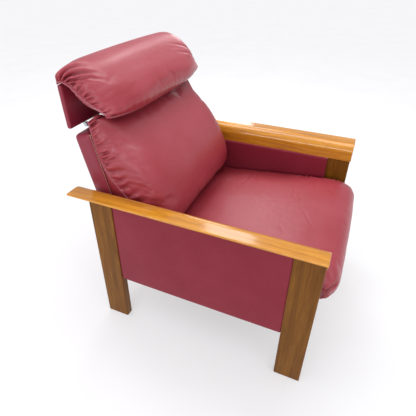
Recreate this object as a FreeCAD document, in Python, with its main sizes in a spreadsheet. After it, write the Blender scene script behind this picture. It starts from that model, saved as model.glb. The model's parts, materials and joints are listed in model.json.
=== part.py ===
"""Recliner armchair with a wooden side frame, a sliding seat, a tilting back and a hinged headrest.

Frame: millimetres, +Z up, origin on the floor under the middle of the chair. The sitter faces -Y and
the sitter's right is -X. The driving dimensions are the cells of the sheet "dims".
"""
import FreeCAD, Part
import os
import re

import Sketcher
from FreeCAD import Placement, Rotation, Vector

DIMENSIONS = [
    # side frames, given for the left side (+X)
    ("arm_outer", 412, "outer edge of the armrest"),
    ("arm_inner", 332, "inner face of the armrest"),
    ("arm_top", 578, "height of the armrest"),
    ("lip_thick", 15, "thickness of the armrest over the legs"),
    ("lip_edge", 8, "thickness of its thin outer edge"),
    ("lip_round", 3.5, "rounding of that edge's top"),
    ("lip_bevel", 2.5, "bevel under that edge"),
    ("roll_radius", 38, "rounding of the inner top edge"),
    ("fascia_thick", 16, "thickness of the part that hangs inside the legs"),
    ("fascia_bottom", 507, "lower edge of that part"),
    ("arm_front", -399, "front end of the armrest"),
    ("arm_rear", 420, "rear end of the armrest"),
    ("end_round", 3, "rounding of the armrest's top at its ends"),
    ("leg_outer", 366, "outer face of the legs"),
    ("leg_thick", 30, "thickness of the legs"),
    ("leg_wide", 88, "width of the legs along the side"),
    ("leg_front", -396, "front face of the front legs"),
    ("leg_rear", 376, "rear face of the rear legs"),
    ("leg_round", 3, "rounding of the legs' long edges"),
    ("glide_high", 3, "height of the glides"),
    ("glide_radius", 11, "radius of the glides"),
    ("panel_outer", 363, "outer face of the leather side panel"),
    ("panel_inner", 326, "inner face of the leather side panel"),
    ("panel_bottom", 208, "lower edge of the side panel"),
    ("cover_thick", 6, "leather with its foam"),
    ("dowel_radius", 5, "panel dowels"),
    ("dowel_half", 25, "half of the length of a panel dowel"),
    ("peg_radius", 4, "dowels that hold the armrests on the legs"),
    ("peg_long", 33, "length of those dowels"),
    ("peg_deep", 24, "their depth in the leg"),
    # cross rails and their brackets
    ("rail_thick", 24, "thickness of the cross rails"),
    ("rail_high", 60, "height of the cross rails"),
    ("front_rail_rear", -351, "rear face of the front cross rail"),
    ("front_rail_low", 232, "lower edge of the front cross rail"),
    ("rear_rail_front", 342, "front face of the rear cross rail"),
    ("rear_rail_low", 220, "lower edge of the rear cross rail"),
    ("bracket_thick", 3, "steel of the corner brackets"),
    ("bracket_leg", 40, "length of a bracket's flange"),
    ("bracket_high", 50, "height of a bracket"),
    ("bracket_inset", 5, "bracket above the rail's lower edge"),
    ("bracket_hole", 28, "screws from the bracket's corner"),
    ("screw_radius", 2, "shank of a wood screw"),
    ("screw_head", 4, "radius of a screw's head"),
    ("screw_long", 20, "length of a wood screw"),
    # seat, in its own frame: y along the seat to the rear, z square to it, 0 on top of the rails
    ("seat_slope", 5.5, "slope of the seat and of its tracks, in degrees"),
    ("seat_level", 345, "height of the rails' top above the origin"),
    ("seat_rail_outer", 309.5, "outer face of the side rails"),
    ("seat_rail_thick", 22, "thickness of the seat rails"),
    ("seat_rail_deep", 50, "height of the seat rails"),
    ("seat_rail_front", -375, "front end of the seat frame"),
    ("seat_rail_rear", 205, "rear end of the seat frame"),
    ("seat_half", 316, "half width of the seat cushion"),
    ("seat_nose", -457.2, "front of the seat cushion"),
    ("seat_top", 62, "top of the seat cushion"),
    ("seat_under", 9, "underside of the seat cushion"),
    ("seat_round", 16, "rounding of the seat cushion"),
    ("track_steel", 2.5, "steel of the tracks"),
    ("track_flange", 15, "width of the tracks"),
    ("track_low", -42, "lower edge of the tracks"),
    ("track_high", -18, "upper edge of the tracks"),
    ("track_front", -300, "front end of the tracks"),
    ("track_rear", 240, "rear end of the tracks"),
    ("runner_gap", 0.6, "play of the runners in the tracks"),
    ("runner_front", -290, "front end of the runners"),
    ("runner_rear", 160, "rear end of the runners"),
    ("link_bracket_low", -46, "lower edge of the link brackets' flange"),
    ("link_bracket_high", -6, "upper edge of the link brackets' flange"),
    ("clip_half", 8, "half width of the spring clips"),
    ("wire_radius", 1.8, "wire of the seat springs"),
    ("spring_turn", 16, "radius of the springs' bends"),
    ("spring_half", 18, "half length of the springs' straight runs"),
    ("spring_level", 3, "height of the springs above the rails"),
    # back, in its own frame: origin on the pivot, z up along the back, y square to it to the rear
    ("pivot_y", 325, "pivot of the back"),
    ("pivot_z", 440, "height of that pivot"),
    ("back_lean", 13, "lean of the back at rest, in degrees"),
    ("back_half", 320, "half width of the back"),
    ("back_front", -30, "front of the back's frame"),
    ("back_rear", 34, "rear of the back's frame"),
    ("back_low", -158, "lower end of the back's frame"),
    ("back_high", 318, "upper end of the back's frame"),
    ("board_thick", 4, "hardboard behind the stiles"),
    ("stile_thick", 24, "thickness of the stiles"),
    ("back_rail_high", 50, "height of the rails between the stiles"),
    ("strap_thick", 2, "elastic webbing"),
    ("strap_wide", 50, "width of a webbing strap"),
    ("cushion_half", 312, "half width of the back cushion"),
    ("cushion_round", 22, "rounding of the back cushion"),
    ("plate_thick", 4, "steel of the pivot, link and hinge plates"),
    ("pivot_plate_front", 28, "pivot plate before the pivot"),
    ("pivot_plate_rear", 38, "pivot plate behind the pivot"),
    ("pivot_plate_half", 40, "pivot plate above and below the pivot"),
    ("pivot_plate_round", 8, "corners of the pivot plate"),
    ("stud_radius", 7, "pivot stud"),
    ("stud_play", 0.05, "radial play of the stud in its bush"),
    ("bush_radius", 11, "outside of the pivot bush"),
    ("spacer_radius", 17, "friction spacer"),
    ("nut_thick", 9, "thickness of the pivot nuts"),
    ("nut_wall", 5, "pivot nut outside its stud"),
    ("free_gap", 0.4, "gap between the sides of turning pieces"),
    ("link_y", 36.4, "link pin"),
    ("link_z", -196.7, "link pin"),
    ("link_radius", 5, "radius of the link pin"),
    ("slot_play", 1, "play of the link pin in its slot"),
    ("slot_rise", 13, "way of the link pin along its slot"),
    ("link_inner", 249, "inner face of the link plates"),
    ("link_plate_low", -156, "lower edge of the link plates' flange"),
    ("link_plate_high", -112, "upper edge of the link plates' flange"),
    ("pin_head", 3, "thickness and overhang of the link pins' heads"),
    # headrest, in its own frame: origin on the hinge, z up along the hanging panel
    ("hinge_y", 36, "hinge of the headrest in the back's frame"),
    ("hinge_z", 328, "hinge of the headrest in the back's frame"),
    ("head_lean", 3, "lean of the hanging panel at rest, in degrees"),
    ("head_half", 320, "half width of the hanging panel"),
    ("head_low", 8.5, "lower edge of the hanging panel"),
    ("head_high", 148, "upper edge of the hanging panel"),
    ("head_front", -1, "front of the hanging panel"),
    ("head_rear", 15, "rear of the hanging panel"),
    ("head_skin", 3, "leather and foam on the headrest board"),
    ("pillow_half", 312, "half width of the pillow"),
    ("pillow_round", 18, "rounding of the pillow"),
    ("hinge_inner", 241, "inner face of the hinge bases"),
    ("hinge_radius", 8, "eye of the hinge plates"),
    ("hinge_pin", 3.5, "radius of the hinge pins"),
    ("hinge_play", 0.05, "radial play of the hinge pins"),
    ("hinge_base_low", 264, "lower edge of the hinge bases, in the back's frame"),
    ("hinge_head", 2.5, "overhang of the hinge pins' heads"),
]
ALIASES = {alias for alias, _, _ in DIMENSIONS}
SIDES = (("right", -1), ("left", 1))

doc = FreeCAD.newDocument("recliner")
sheet = doc.addObject("Spreadsheet::Sheet", "dims")
for row, (alias, number, note) in enumerate(DIMENSIONS, 1):
    sheet.set(f"A{row}", note)
    sheet.set(f"B{row}", str(number))
    sheet.setAlias(f"B{row}", alias)
doc.recompute()

kept = []


# ---------------------------------------------------------------- expressions and small builders
def bind(text):
    """Turn the aliases in a formula into references to the sheet."""
    return re.sub(r"[a-z_]+", lambda m: "dims." + m.group() if m.group() in ALIASES else m.group(), str(text))


def value(text):
    """Number that a formula of aliases gives now."""
    return float(sheet.evalExpression(re.sub(r"^-", "0 - ", str(text))))


def mirrored(span, sign):
    """The same span of x on the side given by sign."""
    low, high = span
    return (low, high) if sign > 0 else (f"-({high})", f"-({low})")


def tilted(x, y, z, angle):
    """Frame at a point, leaning back about X by an angle in degrees."""
    return Placement(Vector(value(x), value(y), value(z)), Rotation(Vector(1, 0, 0), -value(angle)))


def keep(piece):
    """Count an object as a sub-part of the chair."""
    kept.append(piece)
    return piece


def feature(kind, label):
    piece = doc.addObject(kind, label)
    piece.Label = label
    return piece


def box(label, x, y, z, frame=Placement()):
    """Block between pairs of formulas, in a frame."""
    piece = feature("Part::Box", label)
    for size, (low, high) in zip(("Length", "Width", "Height"), (x, y, z)):
        piece.setExpression(size, bind(f"({high}) - ({low})"))
    corner = Vector(value(x[0]), value(y[0]), value(z[0]))
    piece.Placement = frame * Placement(corner, Rotation())
    return piece


TURNS = {"x": Rotation(Vector(0, 1, 0), 90), "y": Rotation(Vector(1, 0, 0), -90), "z": Rotation()}


def rod(label, radius, start, axis, length, frame=Placement()):
    """Cylinder from a start point along an axis of a frame."""
    piece = feature("Part::Cylinder", label)
    piece.setExpression("Radius", bind(radius))
    piece.setExpression("Height", bind(length))
    base = Vector(*[value(part) for part in start])
    piece.Placement = frame * Placement(base, TURNS[axis])
    return piece


def group(label, pieces):
    """Separate solids under one name."""
    whole = feature("Part::Compound", label)
    whole.Links = pieces
    return whole


def fuse(label, pieces):
    whole = feature("Part::MultiFuse", label)
    whole.Shapes = pieces
    return whole


def cut(label, base, tools):
    """Base with the tools taken out of it."""
    whole = feature("Part::Cut", label)
    whole.Base = base
    whole.Tool = tools[0] if len(tools) == 1 else group(label + "_tools", tools)
    return whole


def prism(label, plane, corners, span, frame=Placement()):
    """Body padded from a closed outline of formulas, over a span square to its plane."""
    body = feature("PartDesign::Body", label)
    sketch = body.newObject("Sketcher::SketchObject", label + "_outline")
    origin_plane = [part for part in body.Origin.OriginFeatures if part.Role == plane + "_Plane"][0]
    sketch.AttachmentSupport = (origin_plane, [""])
    sketch.MapMode = "FlatFace"
    points = [Vector(value(u), value(v), 0) for u, v in corners]
    count = len(points)
    for i in range(count):
        sketch.addGeometry(Part.LineSegment(points[i], points[(i + 1) % count]), False)
    for i in range(count):
        sketch.addConstraint(Sketcher.Constraint("Coincident", i, 2, (i + 1) % count, 1))
    for i, corner in enumerate(corners):
        for way, formula in zip(("DistanceX", "DistanceY"), corner):
            index = sketch.addConstraint(Sketcher.Constraint(way, -1, 1, i, 1, value(formula)))
            sketch.setExpression(f"Constraints[{index}]", bind(formula))
    low, high = span
    offset = -value(high) if plane == "XZ" else value(low)
    sketch.AttachmentOffset = Placement(Vector(0, 0, offset), Rotation())
    pad = body.newObject("PartDesign::Pad", label + "_pad")
    pad.Profile = sketch
    pad.setExpression("Length", bind(f"({high}) - ({low})"))
    body.Placement = frame
    return body


def round_edges(body, radius, wanted):
    """Fillet the edges of a body for which wanted(edge) is true."""
    doc.recompute()
    base = body.Tip
    names = [f"Edge{i}" for i, edge in enumerate(base.Shape.Edges, 1) if wanted(edge)]
    fillet = body.newObject("PartDesign::Fillet", body.Label + "_round")
    fillet.Base = (base, names)
    fillet.setExpression("Radius", bind(radius))
    doc.recompute()
    return body


def along(edge, axis):
    """True for a straight edge parallel to an axis."""
    box_of = edge.BoundBox
    sizes = {"x": box_of.XLength, "y": box_of.YLength, "z": box_of.ZLength}
    others = [sizes[name] for name in sizes if name != axis]
    return sizes[axis] > 1 and max(others) < 1e-3


def at(edge, **place):
    """True if the middle of an edge is at the given x, y or z."""
    centre = edge.BoundBox.Center
    return all(abs(getattr(centre, name) - where) < 0.05 for name, where in place.items())


def screw(label, start, axis, way, frame=Placement()):
    """Countersunk wood screw: start is the middle of its head, way is +1 or -1 along the axis."""
    head = feature("Part::Cone", label + "_head")
    head.setExpression("Radius1", bind("screw_head"))
    head.setExpression("Radius2", bind("screw_radius"))
    head.setExpression("Height", bind("track_steel"))
    shank = feature("Part::Cylinder", label + "_shank")
    shank.setExpression("Radius", bind("screw_radius"))
    shank.setExpression("Height", bind("screw_long"))
    flip = Rotation() if way > 0 else Rotation(Vector(1, 0, 0), 180)
    base = Vector(*[value(part) for part in start])
    for piece in (head, shank):
        piece.Placement = frame * Placement(base, TURNS[axis] * flip)
    return fuse(label, [head, shank])


# ---------------------------------------------------------------- frames of the moving units
seat_frame = tilted("0", "0", "seat_level", "seat_slope")
back_frame = tilted("0", "pivot_y", "pivot_z", "back_lean")
hinge_point = back_frame.multVec(Vector(0, value("hinge_y"), value("hinge_z")))
head_frame = Placement(hinge_point, Rotation(Vector(1, 0, 0), -value("head_lean")))


# ---------------------------------------------------------------- side frames
LEG_INNER = "leg_outer - leg_thick"
REBATE = "arm_inner + fascia_thick"
LIP_UNDER = "arm_top - lip_thick"
CORE_OUTER = "panel_outer - cover_thick"
CORE_INNER = "panel_inner + cover_thick"
CORE_LOW = "panel_bottom + cover_thick"
PANEL_FRONT = "leg_front + leg_wide"
PANEL_REAR = "leg_rear - leg_wide"
LEG_SPANS = {"front": ("leg_front", PANEL_FRONT), "rear": (PANEL_REAR, "leg_rear")}


# Panel dowels are clear of the bracket screws below and the pivot screws above. Shifts are from the
# middle of a leg, rises from the bottom of a bracket, and the pivot's screws from its axis.
PANEL_DOWEL_HEIGHTS = (300, 420)
ARM_PEG_SHIFTS = (-22, 22)
GLIDE_SHIFTS = (-26, 26)
BRACKET_SCREW_RISES = (12, 38)
PIVOT_SCREW_PLACES = ((-18, -30), (28, -30), (28, 30), (-18, 30))
TRACK_SCREW_PLACES = (-250, 0, 210)


def signed(corners, sign):
    """Outline in the XZ plane on the side given by sign."""
    return [(x if sign > 0 else f"-({x})", z) for x, z in corners]


def make_dowels():
    """Dowels from the legs up into the arms, and from the panel cores into the legs."""
    arm_dowels, panel_dowels = [], []
    for side, sign in SIDES:
        across = f"{sign} * (leg_outer - 9)"
        for name, (low, high) in LEG_SPANS.items():
            for k, shift in enumerate(ARM_PEG_SHIFTS):
                start = (across, f"({low} + {high}) / 2 + {shift}", f"{LIP_UNDER} - peg_deep")
                arm_dowels.append(rod(f"arm_dowel_{side}_{name}_{k}", "peg_radius", start, "z", "peg_long"))
        middle = f"{sign} * ({CORE_OUTER} + {CORE_INNER}) / 2"
        for name, joint in (("front", PANEL_FRONT), ("rear", PANEL_REAR)):
            for k, height in enumerate(PANEL_DOWEL_HEIGHTS):
                start = (middle, f"{joint} - dowel_half", f"{height}")
                label = f"panel_dowel_{side}_{name}_{k}"
                panel_dowels.append(rod(label, "dowel_radius", start, "y", "2 * dowel_half"))
    return keep(group("arm_dowels", arm_dowels)), keep(group("panel_dowels", panel_dowels))


def make_brackets():
    """Steel angles that hold the cross rails to the legs, with their screws."""
    angles, screws = [], []
    lows = {"front": "front_rail_low + bracket_inset", "rear": "rear_rail_low + bracket_inset"}
    faces = {"front": ("front_rail_rear", 1), "rear": ("rear_rail_front", -1)}
    for side, sign in SIDES:
        for name, (face, way) in faces.items():
            outline = [
                (f"{LEG_INNER} - bracket_leg", face),
                (LEG_INNER, face),
                (LEG_INNER, f"{face} + {way} * bracket_leg"),
                (f"{LEG_INNER} - bracket_thick", f"{face} + {way} * bracket_leg"),
                (f"{LEG_INNER} - bracket_thick", f"{face} + {way} * bracket_thick"),
                (f"{LEG_INNER} - bracket_leg", f"{face} + {way} * bracket_thick"),
            ]
            low = lows[name]
            angles.append(prism(f"angle_{side}_{name}", "XY", signed(outline, sign),
                                (low, f"{low} + bracket_high")))
            for k, rise in enumerate(BRACKET_SCREW_RISES):
                height = f"{low} + {rise}"
                on_rail = (f"{sign} * ({LEG_INNER} - bracket_hole)", f"{face} + {way} * bracket_thick", height)
                on_leg = (f"{sign} * ({LEG_INNER} - bracket_thick)", f"{face} + {way} * bracket_hole", height)
                screws.append(screw(f"rail_screw_{side}_{name}_{k}", on_rail, "y", -way))
                screws.append(screw(f"leg_screw_{side}_{name}_{k}", on_leg, "x", sign))
    screw_group = group("bracket_screws", screws)
    keep(cut("corner_brackets", group("angles", angles), [screw_group]))
    return screw_group


def make_pivots():
    """Plates, studs, spacers and nuts that carry the back on the rear legs."""
    studs, screws, spacers, nuts = [], [], [], []
    blanks = []
    for side, sign in SIDES:
        face = mirrored((f"{LEG_INNER} - plate_thick", LEG_INNER), sign)
        front, rear = "pivot_y - pivot_plate_front", "pivot_y + pivot_plate_rear"
        low, high = "pivot_z - pivot_plate_half", "pivot_z + pivot_plate_half"
        corners = [(front, low), (rear, low), (rear, high), (front, high)]
        plate = prism(f"pivot_blank_{side}", "YZ", corners, face)
        blanks.append(round_edges(plate, "pivot_plate_round", lambda edge: along(edge, "x")))
        inner_end = "back_half - 42"
        span = mirrored((inner_end, LEG_INNER), sign)
        studs.append(rod(f"stud_{side}", "stud_radius", (span[0], "pivot_y", "pivot_z"), "x",
                         f"({span[1]}) - ({span[0]})"))
        for k, (dy, dz) in enumerate(PIVOT_SCREW_PLACES):
            start = (f"{sign} * ({LEG_INNER} - plate_thick)", f"pivot_y + {dy}", f"pivot_z + {dz}")
            screws.append(screw(f"pivot_screw_{side}_{k}", start, "x", sign))
        ring = mirrored(("back_half + free_gap", f"{LEG_INNER} - plate_thick"), sign)
        spacers.append(rod(f"ring_{side}", "spacer_radius", (ring[0], "pivot_y", "pivot_z"), "x",
                           f"({ring[1]}) - ({ring[0]})"))
        nut = feature("Part::Prism", f"nut_{side}")
        nut.Polygon = 6
        nut.setExpression("Circumradius", bind("stud_radius + nut_wall"))
        nut.setExpression("Height", bind("nut_thick"))
        nut_face = "back_half - cover_thick - stile_thick - free_gap"
        start = value(mirrored((f"{nut_face} - nut_thick", nut_face), sign)[0])
        nut.Placement = Placement(Vector(start, value("pivot_y"), value("pivot_z")), TURNS["x"])
        nuts.append(nut)
    stud_group = keep(group("pivot_studs", studs))
    screw_group = group("pivot_screws", screws)
    keep(cut("friction_spacers", group("rings", spacers), [stud_group]))
    keep(cut("pivot_nuts", group("nut_blanks", nuts), [stud_group]))
    keep(cut("pivot_plates", group("pivot_blanks", blanks), [stud_group, screw_group]))
    return screw_group


def make_tracks():
    """Steel channels for the seat's runners, screwed through the leather into the panel cores."""
    screws, blanks = [], []
    for side, sign in SIDES:
        inner = "panel_inner - track_flange"
        wall = "panel_inner - track_steel"
        outline = [
            (inner, "track_high"), ("panel_inner", "track_high"),
            ("panel_inner", "track_low"), (inner, "track_low"),
            (inner, "track_low + track_steel"), (wall, "track_low + track_steel"),
            (wall, "track_high - track_steel"), (inner, "track_high - track_steel"),
        ]
        blanks.append((side, prism(f"track_blank_{side}", "XZ", signed(outline, sign),
                                   ("track_front", "track_rear"), seat_frame)))
        for k, place in enumerate(TRACK_SCREW_PLACES):
            start = (f"{sign} * ({wall})", f"{place}", "(track_low + track_high) / 2")
            screws.append(screw(f"track_screw_{side}_{k}", start, "x", sign, seat_frame))
    screw_group = group("track_screws", screws)
    for side, blank in blanks:
        keep(cut(f"seat_track_{side}", blank, [screw_group]))
    return screw_group


def make_base():
    arm_dowels, panel_dowels = make_dowels()
    bracket_screws = make_brackets()
    pivot_screws = make_pivots()
    track_screws = make_tracks()
    keep(group("base_screws", bracket_screws.Links + pivot_screws.Links + track_screws.Links))
    leg_tools = [arm_dowels, panel_dowels, bracket_screws, pivot_screws]
    for side, sign in SIDES:
        leg_outline = [
            (LEG_INNER, "glide_high"), ("leg_outer", "glide_high"), ("leg_outer", LIP_UNDER),
            (REBATE, LIP_UNDER), (REBATE, "fascia_bottom"), (LEG_INNER, "fascia_bottom"),
        ]
        for name, span in LEG_SPANS.items():
            leg = prism(f"leg_{name}_{side}_blank", "XZ", signed(leg_outline, sign), span)
            round_edges(leg, "leg_round", lambda edge: along(edge, "z") and edge.Length > 100)
            keep(cut(f"leg_{name}_{side}", leg, leg_tools))

        arm_outline = [
            ("arm_inner", "fascia_bottom"), (REBATE, "fascia_bottom"), (REBATE, LIP_UNDER),
            ("leg_outer", LIP_UNDER), ("arm_outer - lip_bevel", "arm_top - lip_edge"),
            ("arm_outer", "arm_top - lip_edge + lip_bevel"), ("arm_outer", "arm_top"), ("arm_inner", "arm_top"),
        ]
        arm = prism(f"armrest_{side}_blank", "XZ", signed(arm_outline, sign), ("arm_front", "arm_rear"))
        inner, outer = sign * value("arm_inner"), sign * value("arm_outer")
        round_edges(arm, "roll_radius", lambda edge: at(edge, x=inner, z=value("arm_top")))
        round_edges(arm, "lip_round", lambda edge: at(edge, x=outer, z=value("arm_top")))
        ends = (value("arm_front"), value("arm_rear"))
        round_edges(arm, "end_round", lambda edge: any(at(edge, y=end) for end in ends)
                    and at(edge, z=value("arm_top")))
        behind_leg = box(f"armrest_{side}_notch", mirrored(("arm_inner - 1", REBATE), sign),
                         ("leg_rear", "arm_rear + 1"), ("fascia_bottom - 1", LIP_UNDER))
        keep(cut(f"armrest_{side}", arm, [arm_dowels, behind_leg]))

        core_outline = [
            (CORE_INNER, CORE_LOW), (CORE_OUTER, CORE_LOW), (CORE_OUTER, LIP_UNDER),
            (REBATE, LIP_UNDER), (REBATE, "fascia_bottom"), (CORE_INNER, "fascia_bottom"),
        ]
        core = prism(f"side_panel_core_{side}_blank", "XZ", signed(core_outline, sign),
                     (PANEL_FRONT, PANEL_REAR))
        keep(cut(f"side_panel_core_{side}", core, [panel_dowels, track_screws]))

        skin_outline = [
            (CORE_OUTER, CORE_LOW), (CORE_OUTER, LIP_UNDER), ("panel_outer", LIP_UNDER),
            ("panel_outer", "panel_bottom"), ("panel_inner", "panel_bottom"), ("panel_inner", CORE_LOW),
        ]
        keep(prism(f"side_cover_outer_{side}", "XZ", signed(skin_outline, sign), (PANEL_FRONT, PANEL_REAR)))
        inner_skin = box(f"side_cover_inner_{side}_blank", mirrored(("panel_inner", CORE_INNER), sign),
                         (PANEL_FRONT, PANEL_REAR), (CORE_LOW, "fascia_bottom"))
        keep(cut(f"side_cover_inner_{side}", inner_skin, [track_screws]))

    across = (f"-({LEG_INNER})", LEG_INNER)
    front = box("front_cross_rail_blank", across, ("front_rail_rear - rail_thick", "front_rail_rear"),
                ("front_rail_low", "front_rail_low + rail_high"))
    rear = box("rear_cross_rail_blank", across, ("rear_rail_front", "rear_rail_front + rail_thick"),
               ("rear_rail_low", "rear_rail_low + rail_high"))
    keep(cut("front_cross_rail", front, [bracket_screws]))
    keep(cut("rear_cross_rail", rear, [bracket_screws]))

    glides = []
    for side, sign in SIDES:
        for name, (low, high) in LEG_SPANS.items():
            for k, shift in enumerate(GLIDE_SHIFTS):
                start = (f"{sign} * (leg_outer - leg_thick / 2)", f"({low} + {high}) / 2 + {shift}", "0")
                glides.append(rod(f"glide_{side}_{name}_{k}", "glide_radius", start, "z", "glide_high"))
    keep(group("leg_glides", glides))


# ---------------------------------------------------------------- seat
SPRING_PLACES = (-225, -135, -45, 45, 135, 225)
SPRING_START = "seat_rail_front + seat_rail_thick + 8"
SPRING_BENDS = 16
RUNNER_SCREW_PLACES = (-270, -65, 140)
LINK_SCREW_HEIGHTS = (-36, -16)
SEAT_CUSHION_OUTLINE = [
    ("215", "seat_under"), ("215", "seat_top - 8"), ("140", "seat_top"), ("-375", "seat_top"),
    ("seat_nose + 25", "seat_top - 10"), ("seat_nose", "seat_top - 44"), ("seat_nose", "-16"),
    ("seat_nose + 20", "-38"), ("seat_rail_front - 2", "-38"), ("seat_rail_front - 2", "seat_under"),
]


def spring_path(middle):
    """Flat zigzag of straight runs and half circles, from the front rail towards the rear rail.
    The springs left of the middle mirror those on the right."""
    half, turn, level = value("spring_half"), value("spring_turn"), value("spring_level")
    y = value(SPRING_START)
    edges = []
    side = -1 if middle < 0 else 1
    for bend in range(SPRING_BENDS + 1):
        start = Vector(middle + side * half, y, level)
        end = Vector(middle - side * half, y, level)
        edges.append(Part.makeLine(start, end))
        if bend < SPRING_BENDS:
            crest = Vector(middle - side * (half + turn), y + turn, level)
            after = Vector(middle - side * half, y + 2 * turn, level)
            edges.append(Part.Arc(end, crest, after).toShape())
        y += 2 * turn
        side = -side
    return Part.Wire(edges)


def make_springs():
    """Sinuous springs: the wire's circle swept along each zigzag."""
    coils = []
    for middle in SPRING_PLACES:
        path = spring_path(middle)
        start = path.Edges[0].Vertexes[0].Point
        circle = Part.Wire(Part.makeCircle(value("wire_radius"), start, Vector(1, 0, 0)))
        coils.append(path.makePipeShell([circle], True, False))
    springs = feature("Part::Feature", "seat_springs")
    springs.Shape = Part.makeCompound(coils)
    springs.Placement = seat_frame
    return keep(springs)


def make_clips():
    """Steel clips that hold the springs' ends on the front and rear rails."""
    clips = []
    reach = f"{SPRING_START} - wire_radius"
    rear_run = value(SPRING_START) + 2 * value("spring_turn") * SPRING_BENDS + value("wire_radius")
    for k, middle in enumerate(SPRING_PLACES):
        x = (f"{middle} - clip_half", f"{middle} + clip_half")
        front = ("seat_rail_front + 6", reach)
        rear = (f"{rear_run}", "seat_rail_rear - 6")
        for name, span in (("front", front), ("rear", rear)):
            clips.append(box(f"clip_{name}_{k}", x, span, ("0.2", "spring_level + wire_radius"), seat_frame))
    keep(group("spring_clips", clips))


def make_link_brackets(link_in_seat):
    """Slotted steel brackets behind the seat, which the back's link pins push forward."""
    y, z = link_in_seat.y, link_in_seat.z
    outer = "link_inner - 1"
    screws, blanks, slots = [], [], []
    for side, sign in SIDES:
        ear = prism(
            f"seat_ear_{side}", "YZ",
            [("seat_rail_rear", "link_bracket_high"), ("seat_rail_rear + 12", "link_bracket_high"),
             (f"{y} - 72", f"{z} + 34"), (f"{y} + 15", f"{z} + 24"), (f"{y} + 15", f"{z} - 8"),
             (f"{y} + 9", f"{z} - 13"), (f"{y} - 12", f"{z} - 13"), ("seat_rail_rear", "link_bracket_low")],
            mirrored((f"{outer} - plate_thick", outer), sign), seat_frame,
        )
        flange = box(f"seat_flange_{side}", mirrored((f"{outer} - 34", outer), sign),
                     ("seat_rail_rear", "seat_rail_rear + bracket_thick"),
                     ("link_bracket_low", "link_bracket_high"), seat_frame)
        radius = "link_radius + slot_play"
        reach = mirrored((f"{outer} - 10", f"{outer} + 6"), sign)
        slots += [
            box(f"slot_run_{side}", reach, (f"{y} - ({radius})", f"{y} + {radius}"),
                (f"{z} - 0.3", f"{z} + slot_rise"), seat_frame),
            rod(f"slot_low_{side}", radius, (reach[0], f"{y}", f"{z} - 0.3"), "x", "16", seat_frame),
            rod(f"slot_high_{side}", radius, (reach[0], f"{y}", f"{z} + slot_rise"), "x", "16", seat_frame),
        ]
        blanks.append(fuse(f"seat_link_blank_{side}", [ear, flange]))
        for k, height in enumerate(LINK_SCREW_HEIGHTS):
            start = (f"{sign} * ({outer} - 22)", "seat_rail_rear + bracket_thick", f"{height}")
            screws.append(screw(f"link_screw_{side}_{k}", start, "y", -1, seat_frame))
    screw_group = group("link_screws", screws)
    keep(cut("seat_link_brackets", group("seat_link_blanks", blanks), slots + [screw_group]))
    return screw_group


def make_seat():
    link_global = back_frame.multVec(Vector(0, value("link_y"), value("link_z")))
    link_screws = make_link_brackets(seat_frame.inverse().multVec(link_global))
    depth = ("-seat_rail_deep", "0")
    rail_inner = "seat_rail_outer - seat_rail_thick"

    runner_screws, runner_blanks = [], []
    for side, sign in SIDES:
        outer = "panel_inner - track_steel - runner_gap"
        rise = ("track_low + track_steel + runner_gap", "track_high - track_steel - runner_gap")
        runner_blanks.append((side, box(f"runner_blank_{side}", mirrored(("seat_rail_outer", outer), sign),
                                        ("runner_front", "runner_rear"), rise, seat_frame)))
        for k, place in enumerate(RUNNER_SCREW_PLACES):
            start = (f"{sign} * ({outer})", f"{place}", "(track_low + track_high) / 2")
            runner_screws.append(screw(f"runner_screw_{side}_{k}", start, "x", -sign, seat_frame))
    screw_group = group("runner_screws", runner_screws)
    keep(group("seat_screws", link_screws.Links + runner_screws))
    for side, blank in runner_blanks:
        keep(cut(f"seat_runner_{side}", blank, [screw_group]))

    for side, sign in SIDES:
        rail = box(f"seat_side_rail_{side}_blank", mirrored((rail_inner, "seat_rail_outer"), sign),
                   ("seat_rail_front", "seat_rail_rear"), depth, seat_frame)
        keep(cut(f"seat_side_rail_{side}", rail, [screw_group]))
    across = (f"-({rail_inner})", rail_inner)
    keep(box("seat_front_rail", across, ("seat_rail_front", "seat_rail_front + seat_rail_thick"),
             depth, seat_frame))
    rear = box("seat_rear_rail_blank", across, ("seat_rail_rear - seat_rail_thick", "seat_rail_rear"),
               depth, seat_frame)
    keep(cut("seat_rear_rail", rear, [link_screws]))

    make_springs()
    make_clips()
    keep(box("seat_base_pad", (f"-({rail_inner})", rail_inner), ("seat_rail_front + 4", "seat_rail_rear - 4"),
             ("spring_level + wire_radius + 0.2", "seat_under - 0.4"), seat_frame))

    cushion = prism("seat_cushion", "YZ", SEAT_CUSHION_OUTLINE, ("-seat_half", "seat_half"), seat_frame)
    half = value("seat_half")
    top = value("seat_top")
    round_edges(cushion, "seat_round", lambda edge: at(edge, z=top) and abs(edge.BoundBox.Center.x) > half - 1)
    keep(cushion)


# ---------------------------------------------------------------- back
STILE_OUTER = "back_half - cover_thick"
STILE_INNER = "back_half - cover_thick - stile_thick"
STILE_FRONT = "back_front + strap_thick"
BOARD_REAR = "back_rear - cover_thick"
STILE_REAR = "back_rear - cover_thick - board_thick"
BOARD_TOP = "back_high - cover_thick"
STRAP_PLACES = (-72, 0, 76, 152, 225)
BOTTOM_RAIL_REAR = "-4"
BACK_CUSHION_OUTLINE = [
    ("back_front - 0.4", "-46"), ("-162", "-76"), ("-211", "-33"), ("-216", "58"), ("-188", "162"),
    ("-134", "248"), ("-90", "300"), ("-59", "344"), ("back_front - 0.4", "350"),
]


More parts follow.
